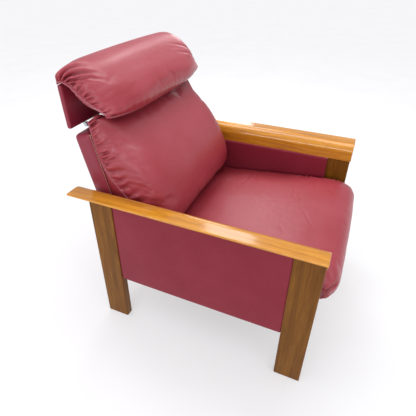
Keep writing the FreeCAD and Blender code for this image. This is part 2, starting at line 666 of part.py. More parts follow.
def make_link_plates():
    """Steel plates under the back with the pins that push the seat."""
    plates, pins = [], []
    for side, sign in SIDES:
        ear = prism(
            f"link_ear_{side}", "YZ",
            [(BOTTOM_RAIL_REAR, "link_plate_high"), ("14", "-140"), ("21", "back_low - 3"),
             ("link_y + 12", "link_z + 8"), ("link_y + 12", "link_z - 7"), ("link_y + 4", "link_z - 13"),
             ("link_y - 8", "link_z - 12"), (BOTTOM_RAIL_REAR, "link_plate_low")],
            mirrored(("link_inner", "link_inner + plate_thick"), sign), back_frame,
        )
        flange = box(f"link_flange_{side}", mirrored(("link_inner", "link_inner + 32"), sign),
                     (BOTTOM_RAIL_REAR, f"{BOTTOM_RAIL_REAR} + bracket_thick"),
                     ("link_plate_low", "link_plate_high"), back_frame)
        plates.append(fuse(f"link_blank_{side}", [ear, flange]))
        spans = (("link_inner - 6", "link_inner + plate_thick + 2", "link_radius"),
                 ("link_inner - 5.5 - pin_head", "link_inner - 5.5", "link_radius + pin_head"),
                 ("link_inner + plate_thick", "link_inner + plate_thick + pin_head", "link_radius + pin_head"))
        parts = []
        for k, (low, high, radius) in enumerate(spans):
            span = mirrored((low, high), sign)
            parts.append(rod(f"link_pin_{side}_{k}", radius, (span[0], "link_y", "link_z"), "x",
                             f"({span[1]}) - ({span[0]})", back_frame))
        pins.append(fuse(f"link_pin_{side}", parts))
    pin_group = keep(group("link_pins", pins))
    keep(cut("back_link_plates", group("link_blanks", plates), [pin_group]))


def make_hinge_bases():
    """Fixed halves of the headrest hinges, on the rear of the top rail, with the hinge pins."""
    bases, pins = [], []
    rail_rear = "back_rear - cover_thick - 2 * board_thick"
    for side, sign in SIDES:
        outer = "hinge_inner + plate_thick"
        ear = prism(
            f"hinge_ear_{side}", "YZ",
            [(rail_rear, "hinge_base_low"), (STILE_REAR, "hinge_base_low"), (STILE_REAR, "back_high + 0.5"),
             ("hinge_y", "hinge_z - hinge_radius"), ("hinge_y - hinge_radius", "hinge_z + 4"),
             (rail_rear, "back_high + 5")],
            mirrored(("hinge_inner", outer), sign), back_frame,
        )
        span = mirrored(("hinge_inner", outer), sign)
        eye = rod(f"hinge_eye_{side}", "hinge_radius", (span[0], "hinge_y", "hinge_z"), "x", "plate_thick",
                  back_frame)
        flange = box(f"hinge_flange_{side}", mirrored((f"{outer} - 30", outer), sign),
                     (rail_rear, STILE_REAR), ("hinge_base_low", f"{BOARD_TOP} - 1"), back_frame)
        bases.append(fuse(f"hinge_base_{side}", [ear, eye, flange]))
        spans = (("hinge_inner - 1", f"{outer} + plate_thick + 1.5", "hinge_pin"),
                 ("hinge_inner - 2", "hinge_inner", "hinge_pin + hinge_head"),
                 (f"{outer} + plate_thick + 1", f"{outer} + plate_thick + 3", "hinge_pin + hinge_head"))
        parts = []
        for k, (low, high, radius) in enumerate(spans):
            reach = mirrored((low, high), sign)
            parts.append(rod(f"hinge_pin_{side}_{k}", radius, (reach[0], "hinge_y", "hinge_z"), "x",
                             f"({reach[1]}) - ({reach[0]})", back_frame))
        pins.append(fuse(f"hinge_pin_{side}", parts))
    pin_group = keep(group("hinge_pins", pins))
    return keep(cut("headrest_hinge_bases", group("hinge_base_blanks", bases), [pin_group]))


def make_back():
    height = ("back_low", BOARD_TOP)
    bushes, bores = [], []
    for side, sign in SIDES:
        reach = mirrored((STILE_INNER, "back_half"), sign)
        length = f"({reach[1]}) - ({reach[0]})"
        bushes.append(rod(f"bush_{side}", "bush_radius", (reach[0], "0", "0"), "x", length, back_frame))
        bores.append(rod(f"bush_bore_{side}", "stud_radius + stud_play", (reach[0], "0", "0"), "x", length,
                         back_frame))
    bush_blanks = group("bush_blanks", bushes)
    keep(cut("pivot_bushes", bush_blanks, bores))

    for side, sign in SIDES:
        stile = box(f"back_stile_{side}_blank", mirrored((STILE_INNER, STILE_OUTER), sign),
                    (STILE_FRONT, STILE_REAR), height, back_frame)
        keep(cut(f"back_stile_{side}", stile, [bush_blanks]))
        skin = box(f"back_cover_{side}_blank", mirrored((STILE_OUTER, "back_half"), sign),
                   ("back_front", BOARD_REAR), ("back_low", "back_high"), back_frame)
        keep(cut(f"back_cover_{side}", skin, [bush_blanks]))

    across = (f"-({STILE_INNER})", STILE_INNER)
    keep(box("back_top_rail", across, (STILE_FRONT, "back_rear - cover_thick - 2 * board_thick"),
             (f"{BOARD_TOP} - back_rail_high", BOARD_TOP), back_frame))
    keep(box("back_bottom_rail", across, (STILE_FRONT, BOTTOM_RAIL_REAR),
             ("back_low", "back_low + back_rail_high"), back_frame))
    keep(box("back_rear_board", (f"-({STILE_OUTER})", STILE_OUTER), (STILE_REAR, BOARD_REAR),
             height, back_frame))
    keep(box("back_cover_rear", ("-back_half", "back_half"), (BOARD_REAR, "back_rear"),
             ("back_low", "back_high"), back_frame))
    straps = []
    for k, place in enumerate(STRAP_PLACES):
        straps.append(box(f"strap_{k}", (f"-({STILE_OUTER} - 4)", f"{STILE_OUTER} - 4"),
                          ("back_front", STILE_FRONT),
                          (f"{place} - strap_wide / 2", f"{place} + strap_wide / 2"), back_frame))
    keep(group("back_webbing", straps))

    make_link_plates()
    bases = make_hinge_bases()
    top = box("back_cover_top_blank", (f"-({STILE_OUTER})", STILE_OUTER), ("back_front", BOARD_REAR),
              (BOARD_TOP, "back_high"), back_frame)
    keep(cut("back_cover_top", top, [bases]))

    cushion = prism("back_cushion", "YZ", BACK_CUSHION_OUTLINE, ("-cushion_half", "cushion_half"), back_frame)
    half = value("cushion_half")
    front = value("back_front") - 1
    round_edges(cushion, "cushion_round",
                lambda edge: abs(edge.BoundBox.Center.x) > half - 1 and edge.BoundBox.Center.y < front
                and -60 < edge.BoundBox.Center.z < 330 and edge.Length > 60)
    keep(cushion)


# ---------------------------------------------------------------- headrest
PILLOW_OUTLINE = [
    ("head_rear", "head_high + 1"), ("head_rear - 4", "184"), ("-30", "212"), ("-80", "202"),
    ("-142", "156"), ("-193", "101"), ("-202", "68"), ("-178", "32"), ("-120", "13"),
    ("-10", "head_high - 8"), ("-4", "head_high + 1"),
]


def make_headrest():
    arms = []
    for side, sign in SIDES:
        inner = "hinge_inner + plate_thick + 0.5"
        span = mirrored((inner, f"{inner} + plate_thick"), sign)
        eye = rod(f"arm_eye_{side}", "hinge_radius", (span[0], "0", "0"), "x", "plate_thick", head_frame)
        neck = box(f"arm_neck_{side}", span, ("head_front + head_skin + 1", "head_rear - head_skin - 2"),
                   ("0", "60"), head_frame)
        bore = rod(f"arm_bore_{side}", "hinge_pin + hinge_play", (span[0], "0", "0"), "x", "plate_thick",
                   head_frame)
        arms.append(cut(f"hinge_arm_{side}", fuse(f"hinge_arm_blank_{side}", [eye, neck]), [bore]))
    arm_group = keep(group("headrest_hinge_arms", arms))

    board = box("headrest_board_blank", ("-head_half + 8", "head_half - 8"),
                ("head_front + head_skin", "head_rear - head_skin"), ("head_low + 1", "head_high - 2"),
                head_frame)
    keep(cut("headrest_board", board, [arm_group]))
    keep(box("headrest_panel_front", ("-head_half", "head_half"), ("head_front", "head_front + head_skin"),
             ("head_low", "head_high"), head_frame))
    keep(box("headrest_panel_rear", ("-head_half", "head_half"), ("head_rear - head_skin", "head_rear"),
             ("head_low", "head_high"), head_frame))

    pillow = prism("headrest_pillow", "YZ", PILLOW_OUTLINE, ("-pillow_half", "pillow_half"), head_frame)
    half = value("pillow_half")
    round_edges(pillow, "pillow_round",
                lambda edge: abs(edge.BoundBox.Center.x) > half - 1 and edge.Length > 40
                and edge.BoundBox.Center.z > 60 and edge.BoundBox.Center.y < 0
                and not at(edge, y=-65.0))
    keep(pillow)


# ---------------------------------------------------------------- build, check and write
make_base()
make_seat()
make_back()
make_headrest()
doc.recompute()

failed = [item.Label for item in doc.Objects if {"Invalid", "Error"} & set(item.State)]
failed += [piece.Label for piece in kept if piece.Shape.isNull() or not piece.Shape.isValid()]
failed += [piece.Label for piece in kept if not piece.Shape.Solids]
if failed:
    raise RuntimeError("not built: " + ", ".join(sorted(set(failed))))

os.makedirs("parts", exist_ok=True)
whole = FreeCAD.BoundBox()
for piece in kept:
    whole.add(piece.Shape.BoundBox)
    piece.Shape.exportStep(os.path.join("parts", piece.Label + ".step"))
print(len(kept), "sub-parts,", "box", whole)
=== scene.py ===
"""Looks of the recliner armchair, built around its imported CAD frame."""

import json
import math

import bmesh
import bpy
import numpy as np
from mathutils import Matrix, Vector


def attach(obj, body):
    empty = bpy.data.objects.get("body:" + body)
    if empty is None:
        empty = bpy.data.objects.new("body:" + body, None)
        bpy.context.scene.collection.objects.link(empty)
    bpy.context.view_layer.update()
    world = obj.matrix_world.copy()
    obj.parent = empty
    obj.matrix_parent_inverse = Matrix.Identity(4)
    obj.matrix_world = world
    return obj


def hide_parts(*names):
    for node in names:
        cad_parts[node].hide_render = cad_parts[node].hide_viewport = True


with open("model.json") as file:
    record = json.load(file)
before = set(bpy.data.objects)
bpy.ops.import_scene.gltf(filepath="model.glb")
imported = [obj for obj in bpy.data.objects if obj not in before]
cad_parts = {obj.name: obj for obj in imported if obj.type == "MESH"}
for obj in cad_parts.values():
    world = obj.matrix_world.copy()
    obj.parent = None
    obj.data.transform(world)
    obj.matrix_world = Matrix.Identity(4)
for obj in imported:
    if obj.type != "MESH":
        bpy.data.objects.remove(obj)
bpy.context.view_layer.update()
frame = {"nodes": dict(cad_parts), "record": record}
nodes = frame["nodes"]

MM = 0.001
ALONG_GRAIN = 0.05  # how much slower wood changes along its grain than across it

# Where each soft part's own axes sit: (y, z) of the origin in mm and how far it leans back.
SEAT_AXES = (0.0, 345.0, 5.5)
BACK_AXES = (325.0, 440.0, 13.0)
HEAD_AXES = (433.86, 751.51, 3.0)
ROW_AXES = (0.0, 0.0, 0.0)


# ---------------------------------------------------------------- materials

def new_material(name):
    material = bpy.data.materials.new(name)
    material.use_nodes = True
    tree = material.node_tree
    shader = tree.nodes["Principled BSDF"]
    return material, tree, shader


def node(tree, kind, inputs=(), **settings):
    """Adds a node. inputs are (socket name or number, value or another node's output)."""
    made = tree.nodes.new(kind)
    for name, value in settings.items():
        setattr(made, name, value)
    for socket, value in inputs:
        if isinstance(value, bpy.types.NodeSocket):
            tree.links.new(value, made.inputs[socket])
        else:
            made.inputs[socket].default_value = value
    return made


def set_shader(shader, **values):
    for name, value in values.items():
        shader.inputs[name.replace("_", " ")].default_value = value


def position(tree, stretch=(1, 1, 1)):
    """The point on the object in metres, stretched by a factor along each axis."""
    place = node(tree, "ShaderNodeTexCoord").outputs["Object"]
    return node(tree, "ShaderNodeMapping", [("Vector", place), ("Scale", stretch)]).outputs[0]


def noise(tree, vector, scale, detail=2.0, rough=0.5, distortion=0.0):
    inputs = [("Vector", vector), ("Scale", scale), ("Detail", detail), ("Roughness", rough),
              ("Distortion", distortion)]
    return node(tree, "ShaderNodeTexNoise", inputs).outputs["Fac"]


def ramp(tree, value, stops):
    """A colour ramp from (place, colour) stops."""
    made = node(tree, "ShaderNodeValToRGB", [("Fac", value)])
    band = made.color_ramp
    for i, (place, colour) in enumerate(stops):
        stop = band.elements[i] if i < 2 else band.elements.new(place)
        stop.position = place
        stop.color = (*colour, 1.0)
    return made.outputs["Color"]


def blend_colours(tree, factor, a, b):
    made = node(tree, "ShaderNodeMix", data_type="RGBA")
    for socket, value in ((0, factor), (6, a), (7, b)):
        if isinstance(value, bpy.types.NodeSocket):
            tree.links.new(value, made.inputs[socket])
        else:
            made.inputs[socket].default_value = value if socket == 0 else (*value, 1.0)
    return made.outputs[2]


def arithmetic(tree, kind, a, b):
    return node(tree, "ShaderNodeMath", [(0, a), (1, b)], operation=kind).outputs[0]


def scaled(tree, value, low, high, to_low, to_high):
    return node(tree, "ShaderNodeMapRange", [("Value", value), ("From Min", low), ("From Max", high),
                                             ("To Min", to_low), ("To Max", to_high)]).outputs[0]


def bump(tree, height, strength, distance, normal=None):
    inputs = [("Height", height), ("Strength", strength), ("Distance", distance)]
    if normal is not None:
        inputs.append(("Normal", normal))
    return node(tree, "ShaderNodeBump", inputs).outputs[0]


def leather(name, base, light, deep, gloss=0.5):
    """Semi gloss hide: pebbled grain, fine creases, tone that drifts, and painted light and shade, with
    some wear, from a vertex attribute.
    """
    material, tree, shader = new_material(name)
    place = position(tree)
    drift = noise(tree, place, 7.0, 3.0, 0.55)
    shading_and_wear = node(tree, "ShaderNodeAttribute", attribute_name="shading_and_wear").outputs["Fac"]
    colour = blend_colours(tree, scaled(tree, drift, 0.35, 0.7, 0.0, 0.35), base, light)
    # Above one half the vertex value paints highlight, sheen and wear in the light colour; below it paints
    # shade in the deep colour.
    colour = blend_colours(tree, scaled(tree, shading_and_wear, 0.5, 1.0, 0.0, 0.9), colour, light)
    colour = blend_colours(tree, scaled(tree, shading_and_wear, 0.5, 0.0, 0.0, 0.95), colour, deep)
    cells = node(tree, "ShaderNodeTexVoronoi", [("Vector", place), ("Scale", 620.0)], feature="F1")
    pebble = scaled(tree, cells.outputs["Distance"], 0.0, 0.75, 1.0, 0.0)
    creases = noise(tree, place, 130.0, 5.0, 0.65, 0.6)
    speck = blend_colours(tree, scaled(tree, creases, 0.62, 0.8, 0.0, 0.3), colour, deep)
    tree.links.new(speck, shader.inputs["Base Color"])
    height = arithmetic(tree, "ADD", arithmetic(tree, "MULTIPLY", pebble, 0.55), creases)
    waves = noise(tree, place, 34.0, 3.0, 0.5, 0.4)
    soft = bump(tree, waves, 0.5, 0.0020)
    tree.links.new(bump(tree, height, 0.34, 0.0006, soft), shader.inputs["Normal"])
    tree.links.new(scaled(tree, creases, 0.3, 0.75, 0.31, 0.46), shader.inputs["Roughness"])
    set_shader(shader, Specular_IOR_Level=gloss, Coat_Weight=0.3 * gloss, Coat_Roughness=0.24)
    return material


def wood(name, dark, middle, pale, grain, gloss):
    """Beech with pores and bands along the named axis. gloss is the lacquer's weight."""
    material, tree, shader = new_material(name)
    stretch = [1.0] * 3
    stretch["xyz".index(grain)] = ALONG_GRAIN
    place = position(tree, stretch)
    bands = noise(tree, place, 46.0, 5.0, 0.65, 1.1)
    pores = noise(tree, place, 420.0, 3.0, 0.7)
    flecks = noise(tree, place, 1100.0, 1.0, 0.5)
    drift = noise(tree, position(tree), 4.0, 2.0)
    colour = ramp(tree, bands, [(0.28, dark), (0.62, pale), (0.47, middle)])
    colour = blend_colours(tree, scaled(tree, drift, 0.3, 0.7, 0.0, 0.35), colour, middle)
    colour = blend_colours(tree, scaled(tree, pores, 0.42, 0.68, 0.0, 0.42), colour, dark)
    colour = blend_colours(tree, scaled(tree, flecks, 0.62, 0.72, 0.0, 0.35), colour, dark)
    tree.links.new(colour, shader.inputs["Base Color"])
    tree.links.new(bump(tree, pores, 0.10, 0.0004), shader.inputs["Normal"])
    tree.links.new(scaled(tree, pores, 0.3, 0.7, 0.30, 0.42), shader.inputs["Roughness"])
    set_shader(shader, Specular_IOR_Level=0.08, Coat_Weight=gloss, Coat_Roughness=0.12, Coat_IOR=1.6)
    return material


def plated_steel(name):
    material, tree, shader = new_material(name)
    place = position(tree)
    spangle = noise(tree, place, 160.0, 3.0, 0.6, 0.3)
    colour = ramp(tree, spangle, [(0.3, (0.36, 0.37, 0.39)), (0.7, (0.62, 0.63, 0.66))])
    tree.links.new(colour, shader.inputs["Base Color"])
    tree.links.new(scaled(tree, spangle, 0.3, 0.7, 0.24, 0.42), shader.inputs["Roughness"])
    tree.links.new(bump(tree, noise(tree, place, 900.0), 0.12, 0.0002), shader.inputs["Normal"])
    set_shader(shader, Metallic=1.0)
    return material


def plain(name, low, high, scale, rough, depth, stretch=(1, 1, 1)):
    """A matt surface whose colour and height both follow one noise."""
    material, tree, shader = new_material(name)
    grain = noise(tree, position(tree, stretch), scale, 4.0, 0.6)
    tree.links.new(ramp(tree, grain, [(0.3, low), (0.7, high)]), shader.inputs["Base Color"])
    tree.links.new(bump(tree, grain, 0.4, depth), shader.inputs["Normal"])
    tree.links.new(scaled(tree, grain, 0.3, 0.7, rough, rough + 0.12), shader.inputs["Roughness"])
    return material


def woven(name, low, high, thread_mm):
    """Crossing threads of one thickness."""
    material, tree, shader = new_material(name)
    place = position(tree)
    scale = math.pi / (thread_mm * MM) / 20.0
    lines = [node(tree, "ShaderNodeTexWave", [("Vector", place), ("Scale", scale)],
                  bands_direction=way).outputs["Fac"] for way in ("X", "Z")]
    weave = arithmetic(tree, "MULTIPLY", *lines)
    tree.links.new(ramp(tree, weave, [(0.0, low), (0.8, high)]), shader.inputs["Base Color"])
    tree.links.new(bump(tree, weave, 0.5, 0.0005), shader.inputs["Normal"])
    tree.links.new(scaled(tree, weave, 0.0, 1.0, 0.85, 0.7), shader.inputs["Roughness"])
    return material


HONEY = dict(dark=(0.34, 0.118, 0.008), middle=(0.58, 0.232, 0.014), pale=(0.76, 0.335, 0.026))
AMBER = dict(dark=(0.095, 0.032, 0.003), middle=(0.17, 0.062, 0.006), pale=(0.24, 0.096, 0.010))
BARE = dict(dark=(0.40, 0.27, 0.15), middle=(0.56, 0.40, 0.24), pale=(0.68, 0.52, 0.34))
WINE = dict(base=(0.34, 0.030, 0.044), light=(0.42, 0.076, 0.100), deep=(0.12, 0.006, 0.010))
# Darker copies of the wine leather: painted shade for the side panels, and for the back frame and headrest
# board behind the cushions.
SHADE_WINE = dict(base=(0.22, 0.016, 0.030), light=(0.29, 0.034, 0.054), deep=(0.10, 0.005, 0.011))
FRAME_WINE = dict(base=(0.25, 0.020, 0.040), light=(0.32, 0.045, 0.075), deep=(0.12, 0.006, 0.014))
# A lighter copy of the wine leather: a painted highlight for welts whose round edge catches the light.
PIPING_WINE = dict(base=(0.38, 0.09, 0.12), light=(0.50, 0.17, 0.21), deep=(0.2, 0.02, 0.04))

hide = leather("wine_leather", **WINE)
panel_hide = leather("wine_leather_panels", gloss=0.16, **SHADE_WINE)
piping_hide = leather("wine_leather_piping", **PIPING_WINE)
frame_hide = leather("wine_leather_frame", gloss=0.34, **FRAME_WINE)
arm_wood = wood("beech_lacquered_arm", grain="y", gloss=0.85, **HONEY)
leg_wood = wood("beech_lacquered_leg", grain="z", gloss=0.12, **AMBER)
bare_along_x = wood("beech_bare_x", grain="x", gloss=0.0, **BARE)
bare_along_y = wood("beech_bare_y", grain="y", gloss=0.0, **BARE)
steel = plated_steel("zinc_plated_steel")
by_slot = {
    "lacquered_beech": arm_wood,
    "raw_beech": bare_along_x,
    "hardboard": plain("hardboard", (0.16, 0.085, 0.04), (0.27, 0.16, 0.085), 180.0, 0.7, 0.0003),
    "burgundy_leather": hide,
    "webbing": woven("webbing", (0.02, 0.018, 0.016), (0.13, 0.115, 0.10), 1.6),
    "felt_pad": plain("felt", (0.16, 0.155, 0.145), (0.42, 0.40, 0.37), 420.0, 0.85, 0.0009),
    "glide_felt": plain("glide", (0.03, 0.026, 0.022), (0.10, 0.088, 0.075), 500.0, 0.8, 0.0005),
    "nylon": plain("nylon", (0.60, 0.59, 0.55), (0.74, 0.73, 0.69), 90.0, 0.4, 0.0001),
    "zinc_steel": steel,
}
for part in frame["record"]["subparts"]:
    name = part["node"]
    finish = by_slot[part["material_slot"]]
    if name.startswith("leg_") and name != "leg_glides":
        finish = leg_wood
    elif "side_rail" in name or name.startswith("side_panel_core"):
        finish = bare_along_y
    slots = nodes[name].data.materials
    slots.clear()
    slots.append(finish)


# ---------------------------------------------------------------- shapes

def placed(points, axes):
    """Points in mm on a leaning part's own axes, as metres in the row frame."""
    y0, z0, lean = axes
    c, s = math.cos(math.radians(lean)), math.sin(math.radians(lean))
    x, y, z = np.moveaxis(np.asarray(points, float), -1, 0)
    return np.stack([x, y0 + y * c + z * s, z0 - y * s + z * c], axis=-1) * MM


def smooth(knots, values, at):
    """A cubic through values at knots, read at the given places."""
    values = np.asarray(values, float)
    slopes = np.gradient(values, knots, axis=0)
    i = np.clip(np.searchsorted(knots, at) - 1, 0, len(knots) - 2)
    h = (knots[i + 1] - knots[i])[:, None]
    t = ((at - knots[i]) / h[:, 0])[:, None]
    return ((2 * t**3 - 3 * t**2 + 1) * values[i] + (t**3 - 2 * t**2 + t) * h * slopes[i]
            + (3 * t**2 - 2 * t**3) * values[i + 1] + (t**3 - t**2) * h * slopes[i + 1])


def ease(t):
    t = np.clip(t, 0.0, 1.0)
    return t * t * (3 - 2 * t)


def grid_normals(points):
    """Unit normals of a grid of points, rows by columns."""
    normals = np.cross(np.gradient(points, axis=1), np.gradient(points, axis=0))
    return normals / np.maximum(np.linalg.norm(normals, axis=-1, keepdims=True), 1e-9)


def mesh_object(name, vertices, faces, material, facts=()):
    mesh = bpy.data.meshes.new(name)
    mesh.from_pydata([tuple(v) for v in vertices], [], faces)
    for label, values in {"shading_and_wear": np.full(len(vertices), 0.5), **dict(facts)}.items():
        attribute = mesh.attributes.new(label, "FLOAT", "POINT")
        attribute.data.foreach_set("value", np.asarray(values, np.float32))
    work = bmesh.new()
    work.from_mesh(mesh)
    bmesh.ops.remove_doubles(work, verts=work.verts, dist=2e-5)
    bmesh.ops.recalc_face_normals(work, faces=work.faces)
    work.to_mesh(mesh)
    work.free()
    mesh.materials.append(material)
    mesh.shade_smooth()
    made = bpy.data.objects.new(name, mesh)
    bpy.context.scene.collection.objects.link(made)
    return made


def fold_depth(along, inward, folds):
    """How deep the folds are at points that lie along a seam and inward from it, in mm.
    Each fold is (start along the seam, slant, length, width, depth): a valley with a ridge beside it."""
    depth = np.zeros_like(along)
    for start, slant, length, width, size in folds:
        spread = width * (1 + 1.3 * inward / length)
        bend = slant * inward + 0.10 * width * np.sin(inward / 11.0 + start)
        off = (along - start - bend) / spread
        fade = np.clip(1 - inward / length, 0, 1) ** 1.2
        depth += size * fade * (np.exp(-off**2) - 0.55 * np.exp(-((np.abs(off) - 1.6) ** 2) * 1.6))
    return depth


def cushion(name, axes, width, top, seam, rear, under, roll, power, crown, spacing, material,
            end_bow=0.0, ruffle=0.0, low_roll=None, low_power=None, shift=None):
    """A filled cover: a top sheet rolls down to a seam at each end, a side strip joins it to the
    rear edge, and an under sheet closes it. The four outlines are (y, z) in mm on the part's axes,
    point for point beside each other. The roll can change towards the outlines' end, and shift moves
    every point. The attributes say where on the cover each point lies."""
    top, seam, rear, under = (np.asarray(line, float) for line in (top, seam, rear, under))
    steps = np.linalg.norm(np.diff(top, axis=0), axis=1)
    knots = np.concatenate([[0.0], np.cumsum(steps)])
    rows = int(knots[-1] / spacing) + 1
    at = np.linspace(0, knots[-1], rows)
    top, seam, rear, under = (smooth(knots, line, at) for line in (top, seam, rear, under))
    ends = ease(at / 50.0) * ease((knots[-1] - at) / 50.0)
    has_strip = not np.allclose(seam, rear)
    outward = (top - seam) / np.maximum(np.linalg.norm(top - seam, axis=1, keepdims=True), 1e-6)
    wave = np.sin(at / 2.9) * np.sin(at / 7.1 + 1.0) + 0.5 * np.sin(at / 4.3 + 2.0)
    seam = seam + outward * (ruffle * wave * ends)[:, None]
    if not has_strip:
        rear = seam

    turns = np.linspace(0, math.pi / 2, int(roll * 1.3 / spacing) + 2)
    edge = roll * (1 - np.cos(turns) ** (2 / power))
    middle = np.linspace(-(width - roll), width - roll, int(2 * (width - roll) / spacing) + 1)[1:-1]
    x = np.concatenate([-width + edge, middle, (width - edge)[::-1]])
    down = ease((at / knots[-1] - 0.5) / 0.4)[:, None]
    reach = roll + ((low_roll or roll) - roll) * down
    curve = power + ((low_power or power) - power) * down
    lift = (1 - np.clip((np.abs(x) - width + reach) / reach, 0, 1) ** curve) ** (1 / curve)

    def sheet(outline):
        flat = seam[:, None, :] + (outline - seam)[:, None, :] * lift[:, :, None]
        return np.concatenate([np.broadcast_to(x[None, :, None], (rows, len(x), 1)), flat], axis=2)

    front = sheet(top)
    back = sheet(under)
    if has_strip:
        back[:, :, 1:] = under[:, None, :]
    out = grid_normals(front)
    if np.mean(np.sum(out[:, :, 1:] * (top - under)[:, None, :], axis=2)) < 0:
        out = -out
    front = front + out * (crown * (1 - (x / width) ** 2)[None, :] * ends[:, None])[:, :, None]

    steps_in = np.linalg.norm(np.diff(front, axis=1), axis=2)
    from_near = np.concatenate([np.zeros((rows, 1)), np.cumsum(steps_in, axis=1)], axis=1)
    inward = np.minimum(from_near, from_near[:, -1:] - from_near)

    columns, is_front = [front[:, j] for j in range(len(x))], [1.0] * len(x)
    depths = [inward[:, j] for j in range(len(x))]
    strip = np.linspace(0, 1, 7)[1:-1] if has_strip else np.array([])
    for side in (1, -1):
        if side == -1:
            columns += [back[:, j] for j in range(len(x))[::-1]]
            is_front += [0.0] * len(x)
            depths += [np.zeros(rows)] * len(x)
        for s in (strip if side == 1 else strip[::-1]):
            bow = end_bow * math.sin(math.pi * s) * ends
            columns.append(np.column_stack([side * (width + bow), seam * (1 - s) + rear * s]))
            is_front.append(0.3)
            depths.append(np.zeros(rows))
    grid = np.stack(columns, axis=1)
    end_line = np.column_stack([np.full(rows, width), seam])
    if shift is not None:
        grid[:, :, 1:] += shift(at[:, None], grid[:, :, 0])
        end_line[:, 1:] += shift(at, end_line[:, 0])
    count = grid.shape[1]
    faces = [(r * count + c, r * count + (c + 1) % count, (r + 1) * count + (c + 1) % count,
              (r + 1) * count + c) for r in range(rows - 1) for c in range(count)]
    facts = {"along": np.repeat(at, count), "across": grid[:, :, 0].ravel(),
             "front": np.tile(is_front, rows), "inward": np.stack(depths, axis=1).ravel()}
    made = mesh_object(name, placed(grid.reshape(-1, 3), axes), faces, material, facts)
    made["span"], made["width"] = float(knots[-1]), width
    return made, end_line, grid[-1, :len(x)]


def read(made, name):
    values = np.zeros(len(made.data.vertices))
    made.data.attributes[name].data.foreach_get("value", values)
    return values


def subdivide(made):
    modifier = made.modifiers.new("Smooth", "SUBSURF")
    modifier.levels = modifier.render_levels = 1
    return modifier


def refine(made):
    """Divides every face once, for detail finer than the simulated cover."""
    modifier = subdivide(made)
    fine = bpy.data.meshes.new_from_object(made.evaluated_get(bpy.context.evaluated_depsgraph_get()))
    made.modifiers.remove(modifier)
    made.data = fine


def vertex_normals(made):
    normals = np.zeros(len(made.data.vertices) * 3, np.float32)
    made.data.vertex_normals.foreach_get("vector", normals)
    return normals.reshape(-1, 3).astype(float)


def sew(made, near_folds, far_folds, marks=None, paint=None):
    """Presses gathers and creases into a filled cover and paints their depth into its colour: painted
    shade in the valleys, painted highlight on the ridges.
    """
    refine(made)
    along, across, front = read(made, "along"), read(made, "across"), read(made, "front")
    inward = read(made, "inward")
    span, width = made["span"], made["width"]
    ends = ease(along / 40.0) * ease((span - along) / 40.0)
    at_seam = ease(inward / 7.0) * ease((front - 0.45) / 0.5)
    folds = np.where(across < 0, fold_depth(along, inward, near_folds),
                     fold_depth(along, inward, far_folds))
    if marks is not None:
        folds = folds + marks(along / span, across / width)
    folds = folds * ends * at_seam
    points = vertex_array(made) - vertex_normals(made) * (folds * MM)[:, None]
    made.data.vertices.foreach_set("co", points.ravel())
    # Painted shade in fold valleys and on the side strips and underside, painted highlight on fold ridges.
    shading_and_wear = 0.5 - folds * 0.05 - 0.12 * (front < 0.5)
    if paint is not None:
        shading_and_wear = shading_and_wear + paint(along / span, across / width) * ends
    made.data.attributes["shading_and_wear"].data.foreach_set("value", np.clip(shading_and_wear, 0, 1).astype(np.float32))
    made.data.update()


def soft_box(name, low, high, radius, puff, axes, material, spacing=14.0, ripple=0.0, seed=1):
    """A padded board: a box in mm on the part's axes with rounded edges and faces that swell."""
    low, high = np.array(low, float), np.array(high, float)
    counts = np.maximum(((high - low) / spacing).astype(int), 4)
    ticks = []
    for i in range(3):
        inner = np.linspace(low[i] + radius, high[i] - radius, counts[i] + 1)
        bend = radius * (1 - np.sin(np.linspace(0, math.pi / 2, 5)[1:]))
        ticks.append(np.concatenate([low[i] + bend[::-1], inner, (high[i] - bend)]))
    vertices, faces = [], []
    for axis in range(3):
        u, v = [i for i in range(3) if i != axis]
        for end in (0, 1):
            start = len(vertices)
            for a in ticks[u]:
                for b in ticks[v]:
                    point = [0.0] * 3
                    point[axis], point[u], point[v] = (low, high)[end][axis], a, b
                    vertices.append(point)
            wide = len(ticks[v])
            faces += [(start + i * wide + j, start + i * wide + j + 1,
                       start + (i + 1) * wide + j + 1, start + (i + 1) * wide + j)
                      for i in range(len(ticks[u]) - 1) for j in range(wide - 1)]
    points = np.array(vertices)
    core = np.clip(points, low + radius, high - radius)
    away = points - core
    length = np.maximum(np.linalg.norm(away, axis=1, keepdims=True), 1e-9)
    points = core + away / length * radius
    share = (points - (low + high) / 2) / ((high - low) / 2)
    rng = np.random.default_rng(seed)
    waves = np.zeros(len(points))
    for _ in range(7):
        way = rng.normal(size=3)
        way *= rng.uniform(0.012, 0.05) / np.linalg.norm(way)
        waves += np.sin(points @ way + rng.uniform(0, 6.28))
    for i in range(3):
        u, v = [k for k in range(3) if k != i]
        flat = np.clip(1 - share[:, u] ** 6, 0, 1) * np.clip(1 - share[:, v] ** 6, 0, 1)
        facing = np.abs(away[:, i]) / length[:, 0]
        points[:, i] += np.sign(away[:, i]) * facing * flat * (puff + ripple * waves)
    return mesh_object(name, placed(points, axes), faces, material)


